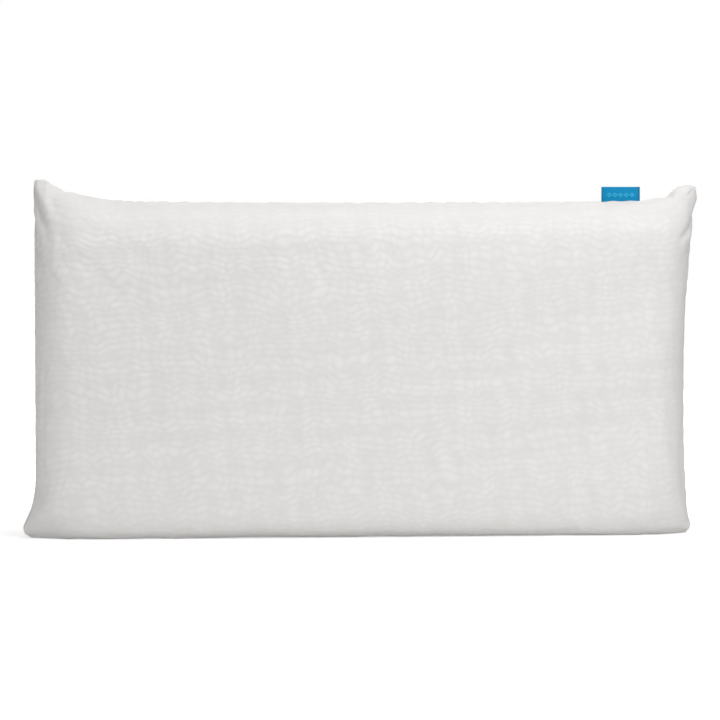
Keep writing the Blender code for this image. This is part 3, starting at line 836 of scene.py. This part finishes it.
def jersey_cloth(loops, fuzz):
    """The liner's thin plain jersey, with the loops on its length and height."""
    made = Finish("liner_jersey", 0.9, sheen=0.1)
    place = made.place()
    yarn = made.use(fuzz, Place=place, Colour=JERSEY_WHITE, Shade=0.04)
    made.colour(yarn["Colour"])
    swap = made.node("ShaderNodeCombineXYZ")
    x, _, z = split(made.tree, place)
    made.tree.links.new(x, swap.inputs["X"])
    made.tree.links.new(z, swap.inputs["Y"])
    jersey = made.use(loops, Cloth=swap.outputs[0], Wale=0.9 * MM, Course=0.7 * MM)
    made.bump(jersey["Height"], 0.04 * MM)
    made.bump(yarn["Height"], 0.03 * MM)
    return made.material


def open_foam(fuzz):
    """Cream foam with open cells of about a millimetre, with shade painted into the cell hollows."""
    made = Finish("open_cell_foam", 0.95)
    place = made.place()
    cells = made.node("ShaderNodeTexVoronoi")
    cells.inputs["Scale"].default_value = 1 / FOAM_CELL
    made.tree.links.new(place, cells.inputs["Vector"])
    # Painted shade: the colour darkens towards the middle of each cell's hollow
    shade = made.mixed(cells.outputs["Distance"], FOAM_HOLLOW_PAINTED_SHADE, FOAM_WALL)
    made.colour(made.use(fuzz, Place=place, Colour=shade, Shade=0.06)["Colour"])
    made.bump(cells.outputs["Distance"], 0.25 * MM)
    return made.material


def plain_finish(name, colour, roughness, fuzz, metallic=0.0, relief=0.03 * MM):
    """A yarn, plastic or metal with a slightly uneven shade and surface."""
    made = Finish(name, roughness, metallic=metallic)
    yarn = made.use(fuzz, Place=made.place(), Colour=colour, Shade=0.05)
    made.colour(yarn["Colour"])
    made.bump(yarn["Height"], relief)
    return made.material


# Label


def folded_label(material):
    """A ribbon folded over and caught in the seam, bowed a little as cloth is."""
    half_thick = (label_high.y - label_low.y) / 2
    foot, head = label_low.z, label_high.z - half_thick - LABEL_BOW
    bm = bmesh.new()
    bmesh.ops.create_grid(bm, x_segments=RIBBON_COLUMNS, y_segments=RIBBON_ROWS, size=1)
    for v in bm.verts:
        across, turn = v.co.x, v.co.y
        rise = 1 - abs(turn) ** RIBBON_FOLD
        uneven = 0.6 + 0.4 * math.cos(3 * across + 1)
        belly = 1 + RIBBON_BELLY * math.sin(math.pi * min(rise * 1.1, 1)) * uneven
        lean = RIBBON_LEAN * rise**2 * math.sin(2.2 * across + 0.4)
        apart = math.copysign(min(abs(turn) * 5, 1) ** 0.5, turn)
        x = label_low.x + (across + 1) / 2 * (label_high.x - label_low.x)
        y = half_thick * RIBBON_FILL * apart * belly
        z = foot + (head + half_thick - foot) * rise
        v.co = (x, y + lean, z)
    bmesh.ops.recalc_face_normals(bm, faces=bm.faces)
    bmesh.ops.solidify(bm, geom=bm.faces[:], thickness=RIBBON_THICK)
    piece = new_piece("folded_label", bm, material)
    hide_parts("brand_label")


# Liner


def soft_copy(node, name, material):
    """A soft inner piece in the space of its CAD solid, with finer faces and an uneven surface."""
    bm = bmesh.new()
    bm.from_mesh(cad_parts[node].data)
    bmesh.ops.remove_doubles(bm, verts=bm.verts, dist=0.01 * MM)
    long_edges = [edge for edge in bm.edges if edge.calc_length() > LINER_CELL]
    bmesh.ops.subdivide_edges(bm, edges=long_edges, cuts=1, use_grid_fill=True)
    bm.normal_update()
    inward = [(v, v.normal.copy(), v.co.copy()) for v in bm.verts]
    for v, normal, place in inward:
        lump = float(waver(place.x + place.y, place.z - place.y, LINER_LUMP_SIZE, SOFT_SEED))
        v.co = place - normal * LINER_LUMPS * min(max(0.5 + 0.5 * lump, 0), 1)
    piece = new_piece(name, bm, material)
    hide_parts(node)
    return piece


# Zip and stitches


def wire(name, runs, radius, material):
    """Round threads or wires through lists of points, as one curve with closed ends."""
    curve = bpy.data.curves.new(name, "CURVE")
    curve.dimensions = "3D"
    curve.bevel_depth = radius
    curve.bevel_resolution = 1
    curve.use_fill_caps = True
    for points in runs:
        spline = curve.splines.new("POLY")
        spline.points.add(len(points) - 1)
        for target, point in zip(spline.points, points):
            target.co = (*point, 1)
    return add_piece(name, curve, material)


def zip_coil(name, side, material):
    """A flattened helix of nylon wire, half a turn out of step with the one across from it."""
    low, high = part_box(name)
    pitch, steps, radius = 1.35 * MM, 10, 0.3 * MM
    turns = int((high.z - low.z - 2 * radius) / pitch)
    reach = abs(low.y) if side < 0 else high.y
    middle, wide = reach / 2, reach / 2 - radius
    deep = (high.x - low.x) / 2 - radius
    start = low.z + radius + (pitch / 2 if side > 0 else 0)
    points = []
    for k in range((turns - 1) * steps):
        turn = 2 * math.pi * k / steps
        y = side * (middle + wide * math.cos(turn))
        x = (low.x + high.x) / 2 - deep * math.sin(turn)
        points.append((x, y, start + pitch * k / steps))
    piece = wire(name + "_wire", [points], radius, material)
    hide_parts(name)


def topstitch(name, material):
    """A row of lockstitches that dip into the cloth at their ends."""
    low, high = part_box(name)
    pitch, gap, radius = 3.4 * MM, 0.7 * MM, 0.24 * MM
    dip, rise, crown, shoulder = 0.3 * MM, 0.32 * MM, 0.38 * MM, 0.5 * MM
    y = (low.y + high.y) / 2
    runs = []
    for k in range(int((high.z - low.z) / pitch)):
        foot = low.z + k * pitch + gap / 2
        head = foot + pitch - gap
        runs.append(
            [
                (VALLEY_X + dip, y, foot),
                (VALLEY_X - rise, y, foot + shoulder),
                (VALLEY_X - crown, y, (foot + head) / 2),
                (VALLEY_X - rise, y, head - shoulder),
                (VALLEY_X + dip, y, head),
            ]
        )
    piece = wire(name + "_thread", runs, radius, material)
    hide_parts(name)


def bar_tack(name, material):
    """A close zigzag of thread."""
    low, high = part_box(name)
    passes, radius, proud = 22, 0.2 * MM, 0.25 * MM
    points = []
    for k in range(passes + 1):
        y = low.y + (high.y - low.y) * k / passes
        z = high.z if k % 2 else low.z
        points.append((low.x + radius - proud, y, z))
    piece = wire(name + "_thread", [points], radius, material)
    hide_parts(name)


def refinish(material, *nodes):
    """Gives CAD pieces whose shape is right a finished material."""
    for name in nodes:
        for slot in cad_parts[name].material_slots:
            slot.material = material


# Stage, light and camera


def stage():
    """The pale floor, which fades to white round the pillow."""
    bm = bmesh.new()
    bmesh.ops.create_grid(bm, x_segments=1, y_segments=1, size=FLOOR_HALF)
    mesh = bpy.data.meshes.new("floor")
    bm.to_mesh(mesh)
    bm.free()
    made = Finish("pale_floor", 0.9)
    made.fill(made.shader.inputs["Base Color"], FLOOR_GREY)
    made.fill(made.shader.inputs["Emission Color"], WHITE)
    length = made.node("ShaderNodeVectorMath")
    length.operation = "LENGTH"
    made.tree.links.new(made.place(), length.inputs[0])
    glow = made.node("ShaderNodeMapRange")
    for name, value in (
        ("Value", length.outputs["Value"]),
        ("From Min", FLOOR_GLOW_FROM),
        ("From Max", FLOOR_GLOW_TO),
        ("To Min", FLOOR_WHITE),
        ("To Max", 1.0),
    ):
        made.fill(glow.inputs[name], value)
    seen = made.node("ShaderNodeLightPath").outputs["Is Camera Ray"]
    strength = maths(made.tree, "MULTIPLY_ADD", seen, glow.outputs["Result"], FLOOR_BOUNCE)
    made.fill(made.shader.inputs["Emission Strength"], strength)
    mesh.materials.append(made.material)
    floor = bpy.data.objects.new("floor", mesh)
    bpy.context.scene.collection.objects.link(floor)


def soft_light(name, place, size, power):
    """A square softbox turned towards the pillow."""
    light = bpy.data.lights.new(name, "AREA")
    light.shape = "SQUARE"
    light.size = size
    light.energy = power
    softbox = bpy.data.objects.new(name, light)
    softbox.location = place
    softbox.rotation_euler = (LIGHT_AIM - Vector(place)).to_track_quat("-Z", "Y").to_euler()
    bpy.context.scene.collection.objects.link(softbox)


def studio():
    """A white background that lights the pillow only weakly, and the softboxes."""
    world = bpy.data.worlds.new("studio")
    bpy.context.scene.world = world
    world.use_nodes = True
    nodes, links = world.node_tree.nodes, world.node_tree.links
    seen = nodes["Background"]
    seen.inputs["Strength"].default_value = 1.0
    seen.inputs["Color"].default_value = (*WHITE, 1)
    lit = nodes.new("ShaderNodeBackground")
    lit.inputs["Color"].default_value = (*DAYLIGHT, 1)
    lit.inputs["Strength"].default_value = WORLD_LIGHT
    mix = nodes.new("ShaderNodeMixShader")
    path = nodes.new("ShaderNodeLightPath")
    links.new(path.outputs["Is Camera Ray"], mix.inputs[0])
    links.new(lit.outputs[0], mix.inputs[1])
    links.new(seen.outputs[0], mix.inputs[2])
    links.new(mix.outputs[0], nodes["World Output"].inputs["Surface"])
    for softbox in SOFTBOXES:
        soft_light(*softbox)


def camera():
    """The camera in front of the pillow, a little to the left and above its middle."""
    data = bpy.data.cameras.new("camera")
    data.lens = CAMERA_LENS
    data.sensor_width = CAMERA_SENSOR
    viewer = bpy.data.objects.new("camera", data)
    turn = math.radians(CAMERA_TURN)
    direction = Vector((math.sin(turn), -math.cos(turn), 0))
    viewer.location = CAMERA_AIM + CAMERA_DISTANCE * direction
    viewer.location.z = CAMERA_HEIGHT
    viewer.rotation_euler = (CAMERA_AIM - viewer.location).to_track_quat("-Z", "Y").to_euler()
    bpy.context.scene.collection.objects.link(viewer)
    bpy.context.scene.camera = viewer


def main():
    loops, fuzz = stitch_group(), fuzz_group()
    knit = knit_cloth(loops, fuzz)
    forms, extras = {}, {}
    for side in (-1, 1):
        forms[side], extras[side] = body_form(side)
    moves = creases(forms)
    for where, side in (("front", -1), ("back", 1)):
        name = "knit_cover_" + where
        panel = cover_panel(name, side, forms[side], extras[side], moves[side], knit)
        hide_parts("cover_" + where)
    folded_label(ribbon_cloth(fuzz))
    nylon = plain_finish("coil_nylon", NYLON_WHITE, 0.35, fuzz, relief=0.005 * MM)
    thread = plain_finish("sewing_thread", THREAD_WHITE, 0.7, fuzz)
    metal = plain_finish("zinc", ZINC_GREY, 0.32, fuzz, metallic=1.0, relief=0.01 * MM)
    for side, where in ((-1, "front"), (1, "back")):
        zip_coil("zip_coil_" + where, side, nylon)
        topstitch("zip_topstitch_" + where, thread)
    bar_tack("bar_tack_bottom", thread)
    bar_tack("bar_tack_top", thread)
    refinish(woven_tape(fuzz), "zip_tape_front", "zip_tape_back")
    refinish(thread, "overlock_top", "overlock_right", "overlock_bottom")
    refinish(metal, "zip_slider", "zip_pull")
    refinish(metal, "zip_top_stop_front", "zip_top_stop_back", "zip_bottom_stop")
    refinish(satin_cloth(fuzz), "care_label")
    jersey = jersey_cloth(loops, fuzz)
    for where in ("front", "back"):
        liner = soft_copy("liner_" + where, "jersey_liner_" + where, jersey)
    refinish(open_foam(fuzz), "foam_core")
    stage()
    studio()
    camera()
    bpy.context.scene.view_settings.view_transform = "Standard"


main()
